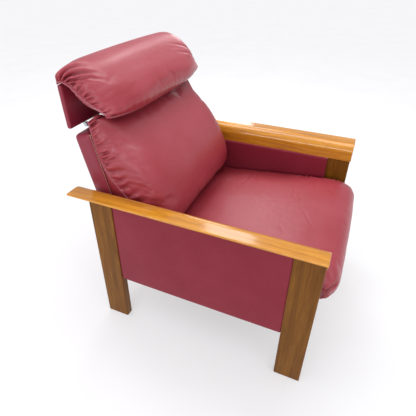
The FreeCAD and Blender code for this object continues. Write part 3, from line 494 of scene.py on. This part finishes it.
def tube(name, path, radius, material, sides=8):
    """A welt of round leather along a path in metres."""
    path = np.asarray(path, float)
    ahead = np.gradient(path, axis=0)
    ahead /= np.maximum(np.linalg.norm(ahead, axis=1, keepdims=True), 1e-9)
    side = np.cross(ahead[0], (0.3, 0.5, 0.81))
    rings = []
    for p, t in zip(path, ahead):
        side = side - t * (side @ t)
        side /= np.linalg.norm(side)
        up = np.cross(t, side)
        turn = np.linspace(0, 2 * math.pi, sides, endpoint=False)
        rings.append(p + radius * MM * (np.cos(turn)[:, None] * side + np.sin(turn)[:, None] * up))
    last = len(path) - 1
    faces = [(r * sides + c, r * sides + (c + 1) % sides, (r + 1) * sides + (c + 1) % sides,
              (r + 1) * sides + c) for r in range(last) for c in range(sides)]
    faces += [tuple(range(sides))[::-1], tuple(last * sides + c for c in range(sides))]
    return mesh_object(name, np.concatenate(rings), faces, material)


def vertex_array(made):
    flat = np.zeros(len(made.data.vertices) * 3)
    made.data.vertices.foreach_get("co", flat)
    return flat.reshape(-1, 3)


FILLED_FRAMES = 20
PRESSURE = 1.2
CLOTH = dict(quality=5, mass=0.25, tension_stiffness=18, compression_stiffness=18, shear_stiffness=8,
             bending_stiffness=0.9, use_pressure=True, uniform_pressure_force=PRESSURE)


def inflate(made, growth, cap_mm, hold_back):
    """Fills the cover by a cloth simulation: its seams, and a back that rests on something, stay
    where they are, and the rest swells by at most the cap."""
    before = vertex_array(made)
    held = np.abs(read(made, "across")) > made["width"] - 0.4
    if hold_back:
        held |= read(made, "front") < 0.9
    group = made.vertex_groups.new(name="held")
    group.add([int(i) for i in np.flatnonzero(held)], 1.0, "REPLACE")
    modifier = made.modifiers.new("Cloth", "CLOTH")
    cloth = modifier.settings
    for setting, value in CLOTH.items():
        setattr(cloth, setting, value)
    cloth.shrink_min = -growth
    cloth.vertex_group_mass = "held"
    cloth.effector_weights.gravity = 0.0
    modifier.point_cache.frame_start, modifier.point_cache.frame_end = 1, FILLED_FRAMES
    scene = bpy.context.scene
    for step in range(1, FILLED_FRAMES + 1):
        scene.frame_set(step)
    swollen = made.evaluated_get(bpy.context.evaluated_depsgraph_get())
    after = vertex_array(swollen)
    made.modifiers.remove(modifier)
    scene.frame_set(1)
    moved = after - before
    size = np.linalg.norm(moved, axis=1, keepdims=True)
    cap = cap_mm * MM
    moved *= cap * np.tanh(size / cap) / np.maximum(size, 1e-9)
    made.data.vertices.foreach_set("co", (before + moved).ravel())
    made.data.update()
    made.vertex_groups.clear()


def finish_piece(made, body, replaced=()):
    """Smooths a piece and says what it rides on and what it replaces."""
    subdivide(made)
    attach(made, body)
    if replaced:
        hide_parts(*replaced)


def gathers(seed, start, stop, spacing, length, width, depth, slant=0.0):
    """Folds at uneven places along a seam and of uneven size, as fold_depth reads them."""
    rng = np.random.default_rng(seed)
    found, place = [], start
    while place < stop:
        strong = rng.uniform(0.0, 1.0) ** 1.6
        found.append((place, slant + rng.uniform(-0.28, 0.28), length * (0.4 + 1.0 * strong),
                      width * rng.uniform(0.7, 1.3), depth * (0.45 + 0.8 * strong)))
        place += spacing * rng.uniform(0.55, 1.5)
    return found


# ---------------------------------------------------------------- seat cushion

SEAT_TOP = [(214, 12), (212, 46), (180, 58), (90, 61), (-60, 62), (-220, 62), (-330, 60), (-392, 53),
            (-426, 38), (-442, 13), (-441, -12), (-428, -29), (-404, -35), (-382, -30)]
SEAT_SEAM = [(214, 12), (212, 30), (180, 36), (90, 38), (-60, 41), (-220, 42), (-330, 37), (-372, 29),
             (-398, 15), (-410, 1), (-410, -10), (-404, -19), (-394, -26), (-382, -30)]
SEAT_BASE = [(214, 12), (205, 12), (175, 12), (85, 12), (-65, 12), (-225, 12), (-320, 12), (-355, 12),
             (-372, 11), (-380, 6), (-382, -4), (-382, -14), (-382, -22), (-382, -30)]


def crease(u, x, centre, place, half, slope, width, depth):
    """One shallow line across the cover; centre is a share of the way along it."""
    off = (u - centre - slope * (x - place)) / width
    return depth * np.exp(-off**2) * np.exp(-(((x - place) / half) ** 4))


def seat_marks(u, x):
    """Shallow creases that a sitter leaves, mostly near the far side and on the front roll."""
    rng = np.random.default_rng(15)
    marks = (crease(u, x, 0.33, 0.62, 0.20, 0.05, 0.006, 1.1)
             + crease(u, x, 0.37, 0.70, 0.14, -0.06, 0.005, 1.0))
    for _ in range(14):
        centre, place = rng.uniform(0.55, 0.86), rng.uniform(-0.85, 0.85)
        half, slope = rng.uniform(0.05, 0.16), rng.uniform(-0.25, 0.25)
        marks = marks + crease(u, x, centre, place, half, slope, 0.006, rng.uniform(0.3, 0.9))
    return marks


def seat_paint(u, x):
    """Lighter in the middle, with wear and a painted sheen from the light above; painted shade by the back
    and by the arms, and on the far side towards the rear, where the far arm shades it.
    """
    sheen_and_wear = np.exp(-(((u - 0.46) / 0.20) ** 2)) * np.exp(-((x / 0.62) ** 4))
    deep = np.exp(-(((u - 0.20) / 0.10) ** 2)) + 0.7 * np.clip((np.abs(x) - 0.72) / 0.28, 0, 1)
    # Painted sheen in the middle; painted shade by the back, by the arms and in the far arm's shadow.
    return 0.22 * sheen_and_wear - 0.22 * deep - 0.35 * ease((x - 0.45) / 0.4) * (1 - ease((u - 0.45) / 0.25))


seat, seat_end, _ = cushion("seat_cushion_leather", SEAT_AXES, 312.0, SEAT_TOP, SEAT_SEAM,
                            SEAT_BASE, SEAT_BASE, roll=78.0, power=2.1, crown=5.0, spacing=6.5,
                            material=hide, end_bow=2.0)
inflate(seat, growth=0.015, cap_mm=4.0, hold_back=True)
sew(seat, gathers(11, 520, 800, 17, 62, 4.2, 5.0), gathers(12, 470, 800, 19, 60, 4.6, 4.8),
    seat_marks, seat_paint)


# ---------------------------------------------------------------- back cushion

BACK_TOP = [(-31, 346), (-62, 347), (-90, 318), (-128, 264), (-168, 201), (-197, 132), (-213, 60),
            (-215, 0), (-203, -42), (-168, -70), (-110, -66), (-31, -48)]
BACK_SEAM = [(-31, 346), (-34, 338), (-32, 306), (-31, 262), (-34, 214), (-54, 152), (-82, 96),
             (-106, 46), (-122, 2), (-124, -34), (-92, -52), (-31, -48)]
BACK_REAR = [(-31, 346), (-31, 334), (-31, 300), (-31, 256), (-31, 206), (-31, 148), (-31, 92),
             (-31, 44), (-31, 4), (-31, -24), (-31, -38), (-31, -48)]


def back_paint(u, x):
    """Lighter across the belly, with wear and painted light; painted shade towards the seat and at the far
    end.
    """
    sheen_and_rub = np.exp(-(((u - 0.42) / 0.16) ** 2)) * np.exp(-(((x + 0.1) / 0.55) ** 4))
    # Painted light across the belly; painted shade low down by the seat and at the far end, away from the
    # light.
    return 0.12 * sheen_and_rub - 0.25 * np.clip((u - 0.62) / 0.2, 0, 1) - 0.15 * np.clip((x - 0.6) / 0.4, 0, 1)


def back_ears(along, x):
    """Both top corners of the cushion are stuffed full and stand up a little."""
    rise = 19.0 * np.exp(-(((np.abs(x) - 292.0) / 44.0) ** 2)) * np.exp(-(((along - 40.0) / 44.0) ** 2))
    return np.stack([-0.25 * rise, rise], axis=-1)


back, back_end, _ = cushion("back_cushion_leather", BACK_AXES, 311.0, BACK_TOP, BACK_SEAM,
                            BACK_REAR, BACK_REAR, roll=112.0, power=2.9, crown=5.0, spacing=6.5,
                            material=hide, end_bow=3.0, ruffle=1.3, shift=back_ears)
inflate(back, growth=0.025, cap_mm=5.0, hold_back=True)
back_near = (gathers(21, 18, 225, 14.5, 62, 3.9, 10.0, slant=-0.12)
             + gathers(22, 225, 430, 25, 125, 6.5, 9.0, slant=-0.5))
back_far = (gathers(23, 18, 225, 16.0, 55, 4.4, 7.5) + gathers(24, 225, 420, 28, 90, 7.0, 5.5, slant=-0.4))
sew(back, back_near, back_far, paint=back_paint)


# ---------------------------------------------------------------- headrest pillow

PILLOW_TOP = [(14, 150), (13, 180), (-8, 200), (-42, 206), (-82, 194), (-128, 159), (-168, 121),
              (-190, 88), (-193, 72), (-188, 58), (-178, 50), (-165, 46)]
PILLOW_SEAM = [(14, 150), (9, 155), (-6, 158), (-28, 150), (-54, 128), (-80, 108), (-104, 94),
               (-124, 84), (-136, 78), (-144, 73), (-147, 69), (-147, 66)]
PILLOW_UNDER = [(14, 150), (6, 149), (-2, 147), (-12, 139), (-30, 118), (-50, 95), (-70, 72),
                (-86, 56), (-104, 44), (-124, 37), (-145, 37), (-165, 46)]

pillow, pillow_end, pillow_edge = cushion("headrest_pillow_leather", HEAD_AXES, 318.5, PILLOW_TOP,
                                          PILLOW_SEAM, PILLOW_SEAM, PILLOW_UNDER, roll=92.0, power=2.5,
                                          crown=4.0, spacing=6.0, material=hide, ruffle=1.6,
                                          low_roll=185.0, low_power=1.6)
inflate(pillow, growth=0.025, cap_mm=5.0, hold_back=False)
pillow_near = [(34, -0.15, 60, 4.0, 9.0), (46, 0.25, 85, 4.2, 13.0), (57, 0.65, 105, 4.6, 15.0),
               (68, 1.00, 115, 4.8, 14.0), (81, 1.20, 100, 4.6, 12.0), (96, 1.20, 75, 4.2, 9.0)]
pillow_near += gathers(31, 112, 240, 13, 36, 3.6, 7.5, slant=0.5) + gathers(34, 244, 360, 12, 30, 3.6, 6.0)
pillow_far = gathers(32, 40, 230, 21, 62, 5.0, 7.5, slant=0.5) + gathers(33, 235, 360, 13, 52, 4.2, 9.0)


def pillow_marks(u, x):
    """Small gathers above the front welt, strongest by the near end, and slack over the top."""
    close = np.clip((u - 0.80) / 0.12, 0, 1) * np.clip((1.0 - u) / 0.03, 0, 1)
    near_end = 0.35 + 0.9 * np.exp(-(((x + 0.8) / 0.3) ** 2))
    ripples = np.sin(x * 62 + 2.0 * np.sin(x * 9)) * close * near_end
    return (ripples + crease(u, x, 0.55, 0.72, 0.16, 0.35, 0.012, 1.6)
            + crease(u, x, 0.66, 0.70, 0.18, 0.3, 0.014, 1.8))


sew(pillow, pillow_near, pillow_far, pillow_marks)

finish_piece(seat, "seat", ["seat_cushion"])
finish_piece(back, "back", ["back_cushion"])
finish_piece(pillow, "headrest", ["headrest_pillow"])


# ---------------------------------------------------------------- padded boards

frame_wrap = soft_box("back_frame_leather", (-320, -29.5, -158), (320, 34, 318), 13.0, 1.4, BACK_AXES,
                      frame_hide, spacing=9.0, ripple=0.5, seed=5)
finish_piece(frame_wrap, "back",
             ["back_cover_left", "back_cover_right", "back_cover_rear", "back_cover_top"])
head_panel = soft_box("headrest_panel_leather", (-320, -1.0, 8.5), (320, 15.0, 148.0), 6.5, 0.6, HEAD_AXES,
                      frame_hide, spacing=9.0, ripple=0.35, seed=6)
finish_piece(head_panel, "headrest", ["headrest_panel_front", "headrest_panel_rear"])
SIDES = (("right", -1), ("left", 1))
PANEL_FRONT, PANEL_BACK = -308, 288
for side, sign in SIDES:
    low, high = sorted((sign * 349.0, sign * 363.0))
    outer = soft_box("side_outer_leather_" + side, (low, PANEL_FRONT, 207.5), (high, PANEL_BACK, 562.5),
                     5.0, 1.4, ROW_AXES, panel_hide, ripple=0.12, seed=7)
    finish_piece(outer, "root", ["side_cover_outer_" + side])
    low, high = sorted((sign * 326.0, sign * 352.0))
    inner = soft_box("side_inner_leather_" + side, (low, PANEL_FRONT, 210), (high, PANEL_BACK, 506.5),
                     5.0, 0.8, ROW_AXES, panel_hide, ripple=0.12, seed=8)
    finish_piece(inner, "root", ["side_cover_inner_" + side])


# ---------------------------------------------------------------- piping

def piping(name, points, axes, radius, body, material=piping_hide):
    finish_piece(tube(name, placed(points, axes), radius, material), body)


def on_side(end_line, sign, outward):
    """A cushion's end line on the named side, moved outward by some mm."""
    return end_line * np.array([sign, 1, 1]) + np.array([sign * outward, 0, 0])


for side, sign in SIDES:
    piping("back_piping_" + side, on_side(back_end[3:-14], sign, 0.6), BACK_AXES, 2.0, "back")
    line = on_side(pillow_end[2:-1], sign, 0.8)
    piping("pillow_welt_" + side, line, HEAD_AXES, 2.1, "headrest")
    line = line + np.array([-sign * 3.0, 1.6, -4.2])
    piping("pillow_welt_low_" + side, line, HEAD_AXES, 2.0, "headrest", hide)
    piping("seat_piping_" + side, on_side(seat_end[6:-6], sign, 0.4), SEAT_AXES, 1.8, "seat", hide)

piping("pillow_front_piping", pillow_edge + np.array([0, -1.6, -0.4]), HEAD_AXES, 2.1, "headrest")
piping("pillow_front_welt", pillow_edge + np.array([0, 0.6, -3.6]), HEAD_AXES, 2.0, "headrest", hide)


# ---------------------------------------------------------------- floor, light and camera

def plain_floor():
    """A pale floor that glows a little, so that shadows on it stay light."""
    material, tree, shader = new_material("pale_floor")
    grain = noise(tree, position(tree), 3.0, 2.0)
    tree.links.new(ramp(tree, grain, [(0.3, (0.51, 0.51, 0.51)), (0.7, (0.53, 0.53, 0.53))]),
                   shader.inputs["Base Color"])
    set_shader(shader, Roughness=0.8, Specular_IOR_Level=0.0, Emission_Color=(1.0, 1.0, 1.0, 1.0),
               Emission_Strength=0.41)
    reach = 60.0
    corners = [(-reach, -reach, 0), (reach, -reach, 0), (reach, reach, 0), (-reach, reach, 0)]
    floor = mesh_object("floor", corners, [(0, 1, 2, 3)], material)


def staged(name, data):
    """An object for a light's or a camera's data, linked into the scene."""
    made = bpy.data.objects.new(name, data)
    bpy.context.scene.collection.objects.link(made)
    return made


def area_light(name, place, turn, size, power, colour=(1.0, 1.0, 1.0)):
    light = bpy.data.lights.new(name, "AREA")
    light.shape = "RECTANGLE"
    light.size, light.size_y = size
    light.energy = power
    light.color = colour
    lamp = staged(name, light)
    lamp.location = place
    lamp.rotation_euler = [math.radians(angle) for angle in turn]


def sun(name, direction, strength, spread_degrees):
    light = bpy.data.lights.new(name, "SUN")
    light.energy = strength
    light.angle = math.radians(spread_degrees)
    staged(name, light).rotation_euler = (-Vector(direction)).to_track_quat("-Z", "Y").to_euler()


plain_floor()
world = bpy.data.worlds.new("studio")
world.use_nodes = True
sky = world.node_tree
height = node(sky, "ShaderNodeSeparateXYZ", [(0, node(sky, "ShaderNodeTexCoord").outputs["Generated"])])
glow = ramp(sky, height.outputs["Z"], [(0.0, (0.44, 0.44, 0.45)), (0.75, (0.74, 0.735, 0.78))])
sky.links.new(glow, sky.nodes["Background"].inputs[0])
bpy.context.scene.world = world
bpy.context.scene.view_settings.view_transform = "Standard"
sun("front_sky", (-0.30, -0.50, 1.0), 0.72, 60.0)
sun("rear_sky", (0.10, 0.75, 1.0), 0.40, 60.0)
area_light("window_high", (2.7, 0.88, 3.15), (0, 50, 14), (0.8, 0.7), 10.0)
area_light("window_low", (2.7, 0.95, 1.55), (0, 75, 16), (0.5, 0.5), 5.0)
area_light("overhead", (0.45, 0.15, 2.6), (0, 0, 0), (1.0, 1.7), 19.0)
area_light("near_strip", (-3.0, 0.5, 1.4), (0, -74, 0), (0.5, 2.8), 26.0, (0.86, 0.87, 1.0))

CAMERA_PLACE = (-1.149, -0.379, 1.223)
CAMERA_TURNS = ((-66.496, "Z"), (57.163, "X"), (0.14, "Z"))  # heading, lift from looking down, roll
camera_data = bpy.data.cameras.new("camera")
camera_data.sensor_width = 36.0
camera_data.lens = 31.98
camera_data.shift_x = 0.0127
camera_data.shift_y = -0.0353
camera = staged("camera", camera_data)
stance = Matrix.Translation(CAMERA_PLACE)
for degrees, axis in CAMERA_TURNS:
    stance = stance @ Matrix.Rotation(math.radians(degrees), 4, axis)
camera.matrix_world = stance
bpy.context.scene.camera = camera
